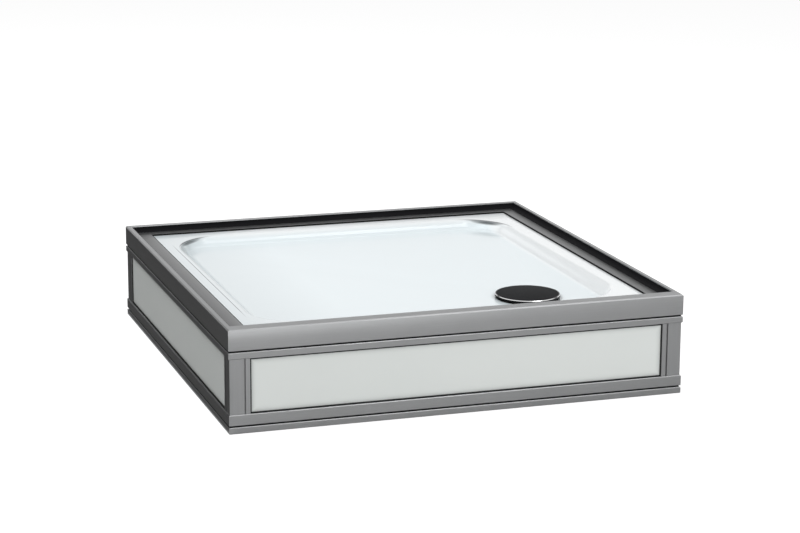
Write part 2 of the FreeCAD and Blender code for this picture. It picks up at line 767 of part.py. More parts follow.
def levelling_foot(x, y):
    """Pad with a six-sided hub and a stud that turns in the socket."""
    pad = rod(x, y, 0, foot_pad_height, foot_pad_radius)
    rims = [edge for edge in pad.Edges if len(edge.Vertexes) == 1]
    pad = pad.makeChamfer(foot_pad_chamfer, rims)
    hub_top = foot_pad_height + foot_hub_height
    angles = [2 * math.pi * step / foot_hub_sides for step in range(foot_hub_sides + 1)]
    corners = [V(x + foot_hub_radius * math.cos(angle), y + foot_hub_radius * math.sin(angle),
                 foot_pad_height) for angle in angles]
    hub = Part.Face(Part.makePolygon(corners)).extrude(UP * foot_hub_height)
    stud = rod(x, y, hub_top, foot_stud_top, foot_stud_radius)
    return pad.fuse([hub, stud]).removeSplitter()


def foot_socket(x, y):
    """Threaded socket fixed under the board."""
    return tube(x, y, board_bottom - foot_socket_height, board_bottom, foot_socket_radius,
                foot_stud_radius + foot_bore_clearance)


# ---------------------------------------------------------------- all nodes

def all_round(pieces):
    """Copies of front pieces on all four sides."""
    return [turned(piece, quarter) for quarter in range(4) for piece in pieces]


def write(name, pieces):
    """One STEP file for a node, from one or more separate solids."""
    shape = pieces[0] if len(pieces) == 1 else Part.makeCompound(pieces)
    if not shape.isValid():
        print("not valid:", name)
    if len(shape.Solids) != len(pieces):
        print("solids:", name, len(shape.Solids))
    shape.exportStep(os.path.join("parts", name + ".step"))


def build():
    """Make every node and write it."""
    os.makedirs("parts", exist_ok=True)
    write("tray_shell", [tray_shell()])
    write("underbody_board", [underbody_board()])
    for quarter, side in enumerate(SIDES):
        write("upper_profile_" + side, [upper_profile(quarter)])
        write("mid_rail_" + side, [turned(mid_rail(), quarter)])
        write("bottom_rail_" + side, [turned(bottom_rail(), quarter)])
        write("base_rail_" + side, [turned(base_rail(), quarter)])
        write("glass_pane_" + side, [turned(glass_pane(), quarter)])
        write("glazing_gasket_" + side, [turned(glazing_gasket(), quarter)])
        write("stiles_" + side, [turned(strip, quarter) for strip in stiles()])
        if side != "front":
            write("channel_liner_" + side, [channel_liner(quarter)])
    for quarter, corner in enumerate(CORNERS):
        write("corner_post_" + corner, [turned(corner_post(), quarter)])
    write("rim_seal", all_round([rim_seal()]))
    write("rim_bedding", all_round([rim_bedding()]))
    write("groove_strips", all_round([groove_strip(base_rail_top), groove_strip(mid_rail_top)]))
    write("corner_cleats", all_round([corner_cleat(bottom_rail_z, bottom_rail_top, True),
                                      corner_cleat(mid_rail_z, mid_rail_top, False)]))
    write("post_screws", all_round(post_screws()))
    write("panel_catches", all_round(panel_catches()))
    write("tie_plates", all_round(tie_plates()))
    write("tie_screws", all_round(tie_screws()))
    write("waste_flange", [waste_flange()])
    write("waste_seals", waste_seals())
    write("trap_body", [trap_body()])
    write("trap_insert", [trap_insert()])
    write("hair_strainer", [hair_strainer()])
    write("outlet_nut", [outlet_nut()])
    write("outlet_elbow", [outlet_elbow()])
    write("drain_cover", [drain_cover()])
    write("cover_ring", [cover_ring()])
    write("foot_sockets", [foot_socket(x, y) for x, y in foot_places()])
    for corner, (x, y) in zip(CORNERS, foot_places()):
        write("levelling_foot_" + corner, [levelling_foot(x, y)])


build()
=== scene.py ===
import math

import bmesh
import bpy
import numpy as np
from mathutils import Matrix, Vector

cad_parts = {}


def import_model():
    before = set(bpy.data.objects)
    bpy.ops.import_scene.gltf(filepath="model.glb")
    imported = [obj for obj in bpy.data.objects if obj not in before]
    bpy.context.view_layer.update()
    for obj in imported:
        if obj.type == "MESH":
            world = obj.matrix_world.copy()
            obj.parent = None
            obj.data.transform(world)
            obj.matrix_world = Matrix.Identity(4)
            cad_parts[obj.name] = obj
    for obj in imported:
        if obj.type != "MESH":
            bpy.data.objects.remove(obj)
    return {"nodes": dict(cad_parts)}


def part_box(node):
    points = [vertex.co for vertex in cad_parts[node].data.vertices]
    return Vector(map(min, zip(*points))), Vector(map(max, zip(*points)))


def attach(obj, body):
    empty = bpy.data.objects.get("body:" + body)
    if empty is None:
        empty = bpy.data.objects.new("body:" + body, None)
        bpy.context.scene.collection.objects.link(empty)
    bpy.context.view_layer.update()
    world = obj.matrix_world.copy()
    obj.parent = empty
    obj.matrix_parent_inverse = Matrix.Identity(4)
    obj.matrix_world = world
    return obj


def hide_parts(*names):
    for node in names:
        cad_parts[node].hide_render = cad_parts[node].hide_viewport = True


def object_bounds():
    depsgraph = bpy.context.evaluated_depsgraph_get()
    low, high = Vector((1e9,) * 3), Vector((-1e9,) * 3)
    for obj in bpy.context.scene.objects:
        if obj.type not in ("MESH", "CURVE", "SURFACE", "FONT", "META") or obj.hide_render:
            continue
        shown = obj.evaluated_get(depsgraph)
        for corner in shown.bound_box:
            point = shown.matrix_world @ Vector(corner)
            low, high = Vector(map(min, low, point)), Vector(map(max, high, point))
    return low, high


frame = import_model()
cad_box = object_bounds()

# Looks of the shower tray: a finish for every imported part, a smooth shell and a finer drain cover.
# Metres. X runs along the front, Y from the front to the back, Z up; the origin is at floor level.

SIDES = ["front", "right", "back", "left"]
CORNERS = ["front_left", "front_right", "back_right", "back_left"]
RAILS = ["mid_rail_", "bottom_rail_", "base_rail_"]

# ---------------------------------------------------------------- sizes and places

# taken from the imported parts
shell_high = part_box("tray_shell")[1]
flange_low, flange_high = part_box("waste_flange")
cover_low, cover_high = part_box("drain_cover")
pane_low, pane_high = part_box("glass_pane_front")
DRAIN = (flange_low + flange_high) / 2
RIM_Z = shell_high.z
HALF = cad_box[1][0]

# tray shell
SHELL_THICKNESS = 0.004
SHELL_CORNER = 0.010
BASIN_INSET = 0.064          # from the outer face to where the basin starts to fall
BASIN_HALF = HALF - BASIN_INSET
BASIN_DEPTH = 0.016          # at the foot of the wall
BASIN_FALL = 0.006           # from the wall's foot to the drain
ROLL_RADIUS = 0.024          # convex round at the top of the basin's wall
FOOT_RADIUS = 0.014          # hollow round at the foot of the wall
WALL_ANGLE = math.radians(50)
CORNER_TOP = 0.106           # corner radius of the basin at the rim
CORNER_WAIST = 0.062
CORNER_FLOOR = 0.050
DRAIN_FLOOR_RADIUS = 0.060   # where the sloping floor ends
LAND_RADIUS = 0.0565
LAND_BOSS_RADIUS = 0.062
DRAIN_HOLE_RADIUS = 0.045
LAND_RECESS = 0.0025

# drain cover
PLATE_RADIUS = 0.05415
COVER_RADIUS = 0.0575
COVER_RIM = 0.0012           # thickness of the plate's rim, under the bright ring
COVER_THICKNESS = 0.0045
PEG_RADIUS = 0.003
PEG_CIRCLE = 0.050
PEG_TURNS = (45, 135, 225, 315)        # degrees
RING_INNER = 0.0542
RING_BEVEL = 0.0013
RING_DROP = 0.0001           # of the ring's top below the plate's
FINE_ROUND = 0.0001          # rounds of the cover's edges, from the finest
SMALL_ROUND = 0.0002
RIM_ROUND = 0.0004
PLATE_ROUND = 0.0005

# fineness of the surfaces
LINE_STEPS = 40              # points along a straight side of the shell
ARC_STEPS = 26               # points round a corner of the shell
DRAIN_SIDE_TURN = 60         # degrees of the drain's circle that meet a straight side
RIM_STEPS = 5                # rows of the shell, from its edge to the drain
ROLL_STEPS = 13
FOOT_STEPS = 9
FLOOR_STEPS = 21
TURN_STEPS = 160             # points round a turned piece
PEG_STEPS = 32
CARD_STEPS = 40
SHARP_ANGLE = math.radians(34)
WELD_REACH = 1e-6

# ---------------------------------------------------------------- tones and shades

# aluminium
ALUMINIUM_DARK = (0.33, 0.335, 0.34)
ALUMINIUM_LIGHT = (0.43, 0.435, 0.44)
ALONG_LINES = 6              # fineness of the draw lines along a profile, per metre
ACROSS_LINES = 700
DRAW_LINE_DEPTH = 0.00002
UPPER_FROM = 0.139           # lower edge of the upper profile
ROLL_BACK = 60.0             # per square metre: tilts the top of its outer face by 0.23 radians
LEDGE_TOP = 0.1645           # half a millimetre above the ledge
LEDGE_OUTER = 0.391
LEDGE_INNER = 0.359
# painted shade on the upper profile's ledge, darkest beside the lip
LEDGE_SHADE_TONE = (0.03, 0.031, 0.032)
LEDGE_SHADE_AT_LIP = 0.80           # how dark the painted shade on the ledge gets beside the lip
LEDGE_SHADE_LESS = 0.50             # how much of that painted shade is gone at its inner edge

# acrylic; a pair says where something fades in and where it is full
FLOOR_TONES = ((0.79, 0.868, 0.898), (0.815, 0.885, 0.91))
# painted light: the rim and the right wall are painted paler than the floor, the rim less so towards
# the left
RIM_PAINTED_LIGHT = (0.925, 0.955, 0.965)
RIM_HEIGHTS = (0.152, 0.160)
RIM_FROM_LEFT = (-0.370, -0.170)
RIGHT_WALL_PAINTED_LIGHT = (0.300, 0.312)
# painted shades on the acrylic blend towards this tone
SHADE_TONE = (0.03, 0.033, 0.036)
ARC_CENTRE = BASIN_HALF - CORNER_TOP   # the shade lines share their middle with the corners
ARC_RADIUS = 0.101
ARC_HALF_WIDTH = 0.0028
ARC_TAPER = 0.048            # how far from its ends the line thins out
ARC_SHADE = 0.92             # how dark a painted shade is
LEFT_EDGE = 0.3375           # start of the basin's left wall
EDGE_HALF_WIDTH = 0.0016
EDGE_SHADE = 0.90
FOLD_DROP = 0.0066           # how far down the left wall its painted fold line lies
FOLD_REACH = 0.0026
FOLD_SHADE = 0.80
LEFT_WALL = (-0.290, -0.310)
LEFT_LINE_ENDS = (0.300, 0.220)        # both ways from the middle of the left wall
BACK_WALL_FOOT = (0.304, 0.314)
BACK_WALL_HEAD = (0.338, 0.332)
BACK_WALL_SHADE = 0.10
TOWARD_LEFT = (-0.15, -0.34)
TOWARD_LEFT_SHADE = 0.19
HALO_REACH = 0.010           # painted shade in a ring on the tray round the drain cover
HALO_SHADE = 0.40
ACRYLIC_COAT = 0.25

# glass
GLASS_TONES = ((0.79, 0.825, 0.805), (0.82, 0.85, 0.83))
GLASS_EDGE_SHADE_TONE = (0.12, 0.13, 0.128)
GLASS_EDGE_SHADE = 0.55
GLASS_FADE = 0.014           # how far the painted shade at the edge of a pane reaches in

# drain cover
COVER_TONES = ((0.010, 0.0105, 0.0115), (0.015, 0.0155, 0.0165))
CHROME_TONES = ((0.74, 0.745, 0.75), (0.82, 0.82, 0.825))
RING_BLACK = (0.010, 0.010, 0.011)
RING_BLACK_ROUGH = 0.42
RING_BRIGHT_LESS = 0.25      # how much smoother the bright bevel is
BEVEL_EDGE = 0.0002          # how sharply the chrome of the bevel ends

# ---------------------------------------------------------------- camera and light

CAMERA_PLACE = (-1.274091, -3.909442, 1.158967)
CAMERA_DOWN = 0.238426       # radians
CAMERA_TURN = -0.320167
CAMERA_ROLL = 0.005963
FOCAL_PIXELS = 2333.36
IMAGE_WIDTH = 800
SENSOR = 36.0                # millimetres

WHITE = (1.0, 1.0, 1.0)
BLACK = (0.0, 0.0, 0.0)
AMBIENT = 0.33               # world's light on the object
FLOOR_HALF = 30.0
FLOOR_TONE = 0.50            # how much light the floor gives back
FLOOR_GLOW = 0.76            # added for the camera, so that the floor is white
FLOOR_IN_METAL = 0.12        # added for what the metal shows of the floor
FOOTPRINT_INSET = 0.015      # how far under the tray's edge the floor's glow ends
LAMP_DISTANCE = 4.0
CARD_RADIUS = 3.2
CARD_HEIGHTS = (0.06, 2.10)
BACK_FLAG_HEIGHTS = (1.42, 2.10)
LEFT_FLAG_X = (-0.402, -1.1, -1.1)     # beside the tray, then the foot and the top of the wall
LEFT_FLAG_Z = (0.002, 0.002, 1.2)
LEFT_FLAG_Y = (-0.7, 4.0)


# ---------------------------------------------------------------- surfaces

def points(x, y, z):
    """Points of three coordinates, each a number or an array, spread to a common shape."""
    return np.stack(np.broadcast_arrays(x, y, z), axis=-1)


def closed_piece(name, grids):
    """Mesh object of closed surfaces. In each grid a row joins the next and the last joins the
    first, and each row closes on itself; points that meet, as at a pole, become one."""
    vertices, faces, first = [], [], 0
    for grid in grids:
        rows, columns = grid.shape[:2]
        row, column = np.meshgrid(np.arange(rows), np.arange(columns), indexing="ij")
        next_row, next_column = (row + 1) % rows, (column + 1) % columns
        corners = [row * columns + column, row * columns + next_column,
                   next_row * columns + next_column, next_row * columns + column]
        faces.append(np.stack(corners, axis=-1).reshape(-1, 4) + first)
        vertices.append(grid.reshape(-1, 3))
        first += rows * columns
    mesh = bpy.data.meshes.new(name)
    mesh.from_pydata(np.concatenate(vertices).tolist(), [], np.concatenate(faces).tolist())
    welded = bmesh.new()
    welded.from_mesh(mesh)
    bmesh.ops.remove_doubles(welded, verts=welded.verts, dist=WELD_REACH)
    bmesh.ops.recalc_face_normals(welded, faces=welded.faces)
    welded.to_mesh(mesh)
    welded.free()
    mesh.shade_smooth()
    mesh.set_sharp_from_angle(angle=SHARP_ANGLE)
    piece = bpy.data.objects.new(name, mesh)
    bpy.context.scene.collection.objects.link(piece)
    return piece


def softened(corners, radii, steps=5):
    """Closed outline with rounded corners. Near a corner the line follows the quadratic curve whose
    ends lie a radius before and after the corner and whose control point is the corner."""
    corners = np.array(corners, float)
    radii = np.array(radii, float)[:, None]
    before = np.roll(corners, 1, axis=0) - corners
    after = np.roll(corners, -1, axis=0) - corners
    start = corners + before / np.linalg.norm(before, axis=1, keepdims=True) * radii
    end = corners + after / np.linalg.norm(after, axis=1, keepdims=True) * radii
    t = np.linspace(0, 1, steps)[None, :, None]
    curve = (1 - t) ** 2 * start[:, None] + 2 * t * (1 - t) * corners[:, None] \
        + t ** 2 * end[:, None]
    return curve.reshape(-1, 2)


def turned(outline, x, y, steps=TURN_STEPS):
    """Outline of radius and height swept round the upright axis through x and y."""
    angle = np.linspace(0, 2 * math.pi, steps, endpoint=False)[None, :]
    radius, height = outline[:, :1], outline[:, 1:]
    return points(x + radius * np.cos(angle), y + radius * np.sin(angle), height)


def rounded_square(half_side, radius, z):
    """Ring of points: on each side a straight run, then a quarter circle of the radius."""
    along = np.linspace(0, 1, LINE_STEPS, endpoint=False)
    angle = np.linspace(0, math.pi / 2, ARC_STEPS, endpoint=False)
    reach = half_side - radius
    x = np.concatenate([reach * (2 * along - 1), reach + radius * np.sin(angle)])
    y = np.concatenate([0 * along - half_side, -reach - radius * np.cos(angle)])
    quarters = [(x, y), (-y, x), (-x, -y), (y, -x)]
    return np.concatenate([points(quarter_x, quarter_y, z) for quarter_x, quarter_y in quarters])


def drain_ring(radius, z):
    """Ring of points round the drain that match those of a rounded square: in each quarter,
    DRAIN_SIDE_TURN for the side and the rest for the corner."""
    start = -90 - DRAIN_SIDE_TURN / 2
    side = np.linspace(start, start + DRAIN_SIDE_TURN, LINE_STEPS, endpoint=False)
    corner = np.linspace(start + DRAIN_SIDE_TURN, start + 90, ARC_STEPS, endpoint=False)
    quarter = np.radians(np.concatenate([side, corner]))
    angle = np.concatenate([quarter + math.pi / 2 * turn for turn in range(4)])
    return points(DRAIN.x + radius * np.cos(angle), DRAIN.y + radius * np.sin(angle), z)


# ---------------------------------------------------------------- tray shell

def wall_steps():
    """Inset and drop of the basin's wall: a round of ROLL_RADIUS to the wall's angle, a straight
    slope, and a round of FOOT_RADIUS back to level."""
    roll = np.linspace(0, WALL_ANGLE, ROLL_STEPS)
    roll_inset, roll_drop = ROLL_RADIUS * np.sin(roll), ROLL_RADIUS * (1 - np.cos(roll))
    foot = np.linspace(WALL_ANGLE, 0, FOOT_STEPS)
    foot_drop = BASIN_DEPTH - FOOT_RADIUS * (1 - np.cos(foot))
    slope_run = (foot_drop[0] - roll_drop[-1]) / math.tan(WALL_ANGLE)
    foot_inset = roll_inset[-1] + slope_run + FOOT_RADIUS * (math.sin(WALL_ANGLE) - np.sin(foot))
    return np.concatenate([roll_inset, foot_inset]), np.concatenate([roll_drop, foot_drop])


def corner_radius(drop):
    """Corner radius of the basin: half way down it is CORNER_WAIST, and from there it changes with
    the square of the way to CORNER_TOP and to CORNER_FLOOR."""
    along = 2 * drop / BASIN_DEPTH - 1
    end = CORNER_TOP if along < 0 else CORNER_FLOOR
    return CORNER_WAIST + (end - CORNER_WAIST) * along ** 2


def shell_side(lowered, drain_radius):
    """Rows of one face of the shell, from the rim's edge over the wall to the drain."""
    edge = shell_high.x
    rim = [rounded_square(edge + (BASIN_HALF - edge) * share,
                          SHELL_CORNER + (CORNER_TOP - SHELL_CORNER) * share, RIM_Z - lowered)
           for share in np.linspace(0, 1, RIM_STEPS, endpoint=False)]
    wall = [rounded_square(BASIN_HALF - inset, corner_radius(drop), RIM_Z - drop - lowered)
            for inset, drop in zip(*wall_steps())]
    drain = drain_ring(drain_radius, RIM_Z - BASIN_DEPTH - BASIN_FALL - lowered)
    floor = [wall[-1] + (drain - wall[-1]) * share
             for share in np.linspace(0, 1, FLOOR_STEPS + 1)[1:]]
    return rim + wall + floor


def tray_shell():
    """The white shell: its upper face, the land and hole of the waste, and its lower face."""
    floor_z = RIM_Z - BASIN_DEPTH - BASIN_FALL
    land_z = floor_z - LAND_RECESS
    waste = [drain_ring(LAND_RADIUS, floor_z), drain_ring(LAND_RADIUS, land_z),
             drain_ring(DRAIN_HOLE_RADIUS, land_z),
             drain_ring(DRAIN_HOLE_RADIUS, land_z - SHELL_THICKNESS),
             drain_ring(LAND_BOSS_RADIUS, land_z - SHELL_THICKNESS)]
    lower = shell_side(SHELL_THICKNESS, LAND_BOSS_RADIUS)[::-1]
    grid = np.stack(shell_side(0, DRAIN_FLOOR_RADIUS) + waste + lower)
    return closed_piece("smooth_tray_shell", [grid])


# ---------------------------------------------------------------- drain cover

def cover_plate():
    """Dark round plate, whose thin rim carries the bright ring, and its four pegs."""
    base = cover_high.z - COVER_THICKNESS
    rim_top = base + COVER_RIM
    plate = softened([(0, cover_high.z), (PLATE_RADIUS, cover_high.z), (PLATE_RADIUS, rim_top),
                      (COVER_RADIUS, rim_top), (COVER_RADIUS, base), (0, base)],
                     [0, PLATE_ROUND, 0, SMALL_ROUND, RIM_ROUND, 0])
    peg_top = base + COVER_RIM / 2
    peg = softened([(0, peg_top), (PEG_RADIUS, peg_top), (PEG_RADIUS, cover_low.z),
                    (0, cover_low.z)], [0, 0, RIM_ROUND, 0])
    pegs = [turned(peg, DRAIN.x + PEG_CIRCLE * math.cos(angle),
                   DRAIN.y + PEG_CIRCLE * math.sin(angle), PEG_STEPS)
            for angle in np.radians(PEG_TURNS)]
    return closed_piece("drain_cover_plate", [turned(plate, DRAIN.x, DRAIN.y)] + pegs)


def cover_ring():
    """Ring round the plate with a 45 degree bevel and softened edges."""
    bottom = cover_high.z - COVER_THICKNESS + COVER_RIM
    top = cover_high.z - RING_DROP
    outline = softened([(RING_INNER, bottom), (COVER_RADIUS, bottom),
                        (COVER_RADIUS, top - RING_BEVEL), (COVER_RADIUS - RING_BEVEL, top),
                        (RING_INNER, top)],
                       [0, FINE_ROUND, SMALL_ROUND, SMALL_ROUND, FINE_ROUND])
    return closed_piece("drain_cover_ring", [turned(outline, DRAIN.x, DRAIN.y)])


# ---------------------------------------------------------------- shader maths

class Amount:
    """A number that varies over a surface, held by a node's output; arithmetic adds Math nodes."""

    def __init__(self, finish, socket):
        self.finish = finish
        self.socket = socket

    def calc(self, operation, *values, clamp=False):
        """Result of a Math node's operation on the values."""
        node = self.finish.node("ShaderNodeMath", {"operation": operation, "use_clamp": clamp},
                                dict(enumerate(values)))
        return Amount(self.finish, node.outputs[0])

    def __add__(self, other):
        return self.calc("ADD", self, other)

    def __sub__(self, other):
        return self.calc("SUBTRACT", self, other)

    def __rsub__(self, other):
        return self.calc("SUBTRACT", other, self)

    def __mul__(self, other):
        return self.calc("MULTIPLY", self, other)

    def __truediv__(self, other):
        return self.calc("DIVIDE", self, other)

    def __pow__(self, other):
        return self.calc("POWER", self, other)

    def __abs__(self):
        return self.calc("ABSOLUTE", self)

    __radd__ = __add__
    __rmul__ = __mul__

    def least(self, other):
        return self.calc("MINIMUM", self, other)

    def most(self, other):
        return self.calc("MAXIMUM", self, other)

    def under(self, limit):
        """1 where the number is less than a limit, else 0."""
        return self.calc("LESS_THAN", self, limit)

    def within(self):
        """The number, kept between 0 and 1."""
        return self.calc("ADD", self, 0.0, clamp=True)

    def fade(self, empty, full):
        """0 where the number is at or before one value, evenly more towards another, and 1 from
        there on. The other value may be the smaller one."""
        return ((self - empty) / (full - empty)).within()


class Finish:
    """A material's node tree, or the world's, with the few ways that the finishes are built."""

    def __init__(self, owner):
        self.owner = owner
        owner.use_nodes = True
        self.tree = owner.node_tree

    def node(self, kind, settings=None, values=None):
        """Node of a kind; its settings are made first, then its sockets get values or links."""
        node = self.tree.nodes.new(kind)
        for name, setting in (settings or {}).items():
            if name == "stops":
                self.set_stops(node.color_ramp, setting)
            else:
                setattr(node, name, setting)
        for key, value in (values or {}).items():
            self.feed(self.open_socket(node, key), value)
        return node

    def open_socket(self, node, key):
        """Input of a node by its place, or the first one in use with a name."""
        if isinstance(key, int):
            return node.inputs[key]
        return next(s for s in node.inputs if s.name == key and s.enabled)

    def set_stops(self, ramp, stops):
        """Give a colour ramp its places and their colours."""
        while len(ramp.elements) < len(stops):
            ramp.elements.new(1.0)
        for element, (place, colour) in zip(ramp.elements, stops):
            element.position = place
            element.color = (*colour, 1.0)

    def feed(self, socket, value):
        """Put a number, colour, vector or another socket into a socket."""
        source = value.socket if isinstance(value, Amount) else value
        if isinstance(source, bpy.types.NodeSocket):
            self.tree.links.new(source, socket)
        elif socket.type == "RGBA":
            socket.default_value = (*source, 1.0)
        else:
            socket.default_value = source

    def place(self, scale=(1, 1, 1)):
        """Position on the object, in metres, stretched by a scale along each axis."""
        coordinate = self.node("ShaderNodeTexCoord")
        return self.node("ShaderNodeMapping", {}, {"Vector": coordinate.outputs["Object"],
                                                   "Scale": scale}).outputs[0]

    def axes(self):
        """The three coordinates of the position on the object."""
        split = self.node("ShaderNodeSeparateXYZ", {}, {0: self.place()})
        return [Amount(self, split.outputs[axis]) for axis in range(3)]

    def noise(self, place, scale, detail=3.0, rough=0.55):
        """Noise from 0 to 1 over a position."""
        node = self.node("ShaderNodeTexNoise", {}, {"Vector": place, "Scale": scale,
                                                    "Detail": detail, "Roughness": rough})
        return Amount(self, node.outputs[0])

    def blend(self, amount, first, second):
        """Colour between two colours."""
        node = self.node("ShaderNodeMix", {"data_type": "RGBA"}, {"Factor": amount, "A": first,
                                                                  "B": second})
        return next(s for s in node.outputs if s.enabled)

    def ramp(self, amount, stops):
        """Colour along a row of colours, each at its own amount."""
        return self.node("ShaderNodeValToRGB", {"stops": stops}, {0: amount}).outputs[0]

    def bump(self, height, strength=1.0, distance=1.0):
        """Normal of a surface raised by a height."""
        node = self.node("ShaderNodeBump", {}, {"Height": height, "Strength": strength,
                                                "Distance": distance})
        return node.outputs[0]


def surface_finish(name, **sockets):
    """New material and its Principled shader, with the sockets that stay the same all over."""
    finish = Finish(bpy.data.materials.new(name))
    finish.shader = finish.tree.nodes["Principled BSDF"]
    for socket, value in sockets.items():
        finish.feed(finish.shader.inputs[socket.replace("_", " ")], value)
    return finish


def dress(finish, **sockets):
    """Give the material's Principled shader what varies over the surface."""
    for socket, value in sockets.items():
        finish.feed(finish.shader.inputs[socket.replace("_", " ")], value)
    return finish.owner


# ---------------------------------------------------------------- finishes in sight

def satin_aluminium(name, axis):
    """Anodised aluminium with fine draw lines along an axis and a broad, faint cloudiness. Its
    tone, roughness and relief are handed back, so that the upper profile can add to them."""
    finish = surface_finish("satin_aluminium_" + name, Metallic=1.0)
    stretch = [ALONG_LINES if across == axis else ACROSS_LINES for across in "xyz"]
    lines = finish.noise(finish.place(stretch), 1.0, detail=4.0, rough=0.7)
    cloud = finish.noise(finish.place(), 9.0, detail=2.0)
    tone = finish.blend((lines * 0.7 + cloud * 0.3).within(), ALUMINIUM_DARK, ALUMINIUM_LIGHT)
    return finish, tone, lines * 0.16 + cloud * 0.06 + 0.25, lines * DRAW_LINE_DEPTH


def rail_aluminium(axis):
    """Aluminium of the rails, posts and stiles."""
    finish, tone, roughness, relief = satin_aluminium("along_" + axis, axis)
    return dress(finish, Base_Color=tone, Roughness=roughness, Normal=finish.bump(relief))


def upper_aluminium(axis):
    """Aluminium of the upper profile. Its outer face rolls back towards the top: the relief sinks
    with the cube of the height above its lower edge. Its ledge carries painted shade, darkest beside
    the lip."""
    finish, tone, roughness, relief = satin_aluminium("along_" + axis + "_upper", axis)
    x, y, z = finish.axes()
    risen = z - UPPER_FROM
    reach = abs(x).most(abs(y))
    from_lip = reach.fade(LEDGE_OUTER, LEDGE_INNER)
    # painted shade: the ledge darkened, most beside the lip
    painted_ledge_shade = z.under(LEDGE_TOP) * reach.under(LEDGE_OUTER) * (LEDGE_SHADE_AT_LIP - from_lip * LEDGE_SHADE_LESS)
    return dress(finish, Base_Color=finish.blend(painted_ledge_shade, tone, LEDGE_SHADE_TONE), Roughness=roughness,
                 Normal=finish.bump(relief - risen * risen * risen * ROLL_BACK))


def from_drain(x, y):
    """Distance from the drain's axis."""
    return ((x - DRAIN.x) ** 2.0 + (y - DRAIN.y) ** 2.0) ** 0.5


def tray_acrylic():
    """Glossy white acrylic, a little uneven in tone, with the faint waviness of a formed sheet. The
    rim and the right wall are painted paler than the floor, as painted light. Painted shades lie
    where the light falls off: arcs that thin out towards both ends in the basin's two back corners,
    an edge line and a fold along its left wall, the back wall's slope, a ring round the cover that
    fades with the square of the distance, and the basin's left part."""
    finish = surface_finish("tray_acrylic", Coat_Roughness=0.05)
    cloud = finish.noise(finish.place(), 5.0)
    wave = finish.noise(finish.place(), 28.0, detail=1.0)
    x, y, z = finish.axes()
    across, back = abs(x) - ARC_CENTRE, y - ARC_CENTRE
    from_arc = abs((across * across + back * back) ** 0.5 - ARC_RADIUS)
    taper = across.fade(0, ARC_TAPER) * back.fade(0, ARC_TAPER)
    arc = (taper - from_arc / ARC_HALF_WIDTH).within() * ARC_SHADE
    edge = abs(x + LEFT_EDGE).fade(EDGE_HALF_WIDTH, 0) * EDGE_SHADE
    fold = abs(RIM_Z - z - FOLD_DROP).fade(FOLD_REACH, 0) * FOLD_SHADE
    on_left = x.fade(*LEFT_WALL) * abs(y).fade(*LEFT_LINE_ENDS)
    back_wall = y.fade(*BACK_WALL_FOOT) * y.fade(*BACK_WALL_HEAD) * BACK_WALL_SHADE
    cover_shade = from_drain(x, y).fade(COVER_RADIUS + HALO_REACH, COVER_RADIUS) ** 2.0 * HALO_SHADE
    toward_left = x.fade(*TOWARD_LEFT) * TOWARD_LEFT_SHADE
    # painted shades, blended into the base colour
    shade = arc.most(edge.most(fold) * on_left).most(back_wall).most(cover_shade).most(toward_left)
    # painted light: the rim, fading out towards the left, and the right wall are painted paler
    painted_rim_light = z.fade(*RIM_HEIGHTS) * x.fade(*RIM_FROM_LEFT)
    pale = finish.blend(painted_rim_light.most(x.fade(*RIGHT_WALL_PAINTED_LIGHT)), finish.blend(cloud, *FLOOR_TONES),
                        RIM_PAINTED_LIGHT)
    return dress(finish, Base_Color=finish.blend(shade, pale, SHADE_TONE),
                 Coat_Weight=(1 - arc) * ACRYLIC_COAT, Roughness=cloud * 0.06 + 0.15,
                 Normal=finish.bump(wave, strength=0.04, distance=0.001))


def white_glass():
    """Pane backed in pale grey-green. Towards its edges a painted shade darkens the tone with the
    cube of the distance."""
    finish = surface_finish("white_glass", Coat_Weight=0.15, Coat_Roughness=0.02)
    x, y, z = finish.axes()
    along = abs(x).least(abs(y))
    edge = (pane_high.x - along).least((z - pane_low.z).least(pane_high.z - z))
    cloud = finish.noise(finish.place(), 6.0, detail=2.0)
    # painted shade along the pane's edges
    shade = edge.fade(GLASS_FADE, 0) ** 3.0 * GLASS_EDGE_SHADE
    return dress(finish, Roughness=cloud * 0.03 + 0.05,
                 Base_Color=finish.blend(shade, finish.blend(cloud, *GLASS_TONES),
                                         GLASS_EDGE_SHADE_TONE))


def dark_rubber(name, dark, light, roughness, grain=900.0):
    """Near-black rubber or foam with a fine grain."""
    finish = surface_finish(name, Specular_IOR_Level=0.025)
    fine = finish.noise(finish.place(), grain, detail=2.0)
    cloud = finish.noise(finish.place(), 12.0, detail=2.0)
    return dress(finish, Roughness=fine * 0.12 + roughness,
                 Base_Color=finish.blend((fine * 0.5 + cloud * 0.5).within(), dark, light),
                 Normal=finish.bump(fine, strength=0.15, distance=0.0002))


def rebate_black():
    return dark_rubber("rebate_black", dark=(0.006, 0.006, 0.007), light=(0.013, 0.013, 0.014),
                       roughness=0.50)


def groove_black():
    return dark_rubber("groove_black", dark=(0.010, 0.010, 0.010), light=(0.020, 0.020, 0.021),
                       roughness=0.60)


def glazing_rubber():
    return dark_rubber("glazing_rubber", dark=(0.022, 0.022, 0.023), light=(0.040, 0.040, 0.041),
                       roughness=0.55)


def seal_rubber():
    return dark_rubber("seal_rubber", dark=(0.012, 0.012, 0.012), light=(0.022, 0.022, 0.023),
                       roughness=0.50)


def bedding_foam():
    return dark_rubber("bedding_foam", dark=(0.05, 0.05, 0.05), light=(0.12, 0.12, 0.12),
                       roughness=0.80, grain=500.0)


def cover_black():
    """Satin black coating of the drain cover with a very fine texture."""
    finish = surface_finish("cover_black", Specular_IOR_Level=0.02)
    fine = finish.noise(finish.place(), 1400.0, detail=2.0)
    cloud = finish.noise(finish.place(), 18.0, detail=2.0)
    return dress(finish, Base_Color=finish.blend(cloud, *COVER_TONES), Roughness=fine * 0.14 + 0.42,
                 Normal=finish.bump(fine, strength=0.12, distance=0.0001))


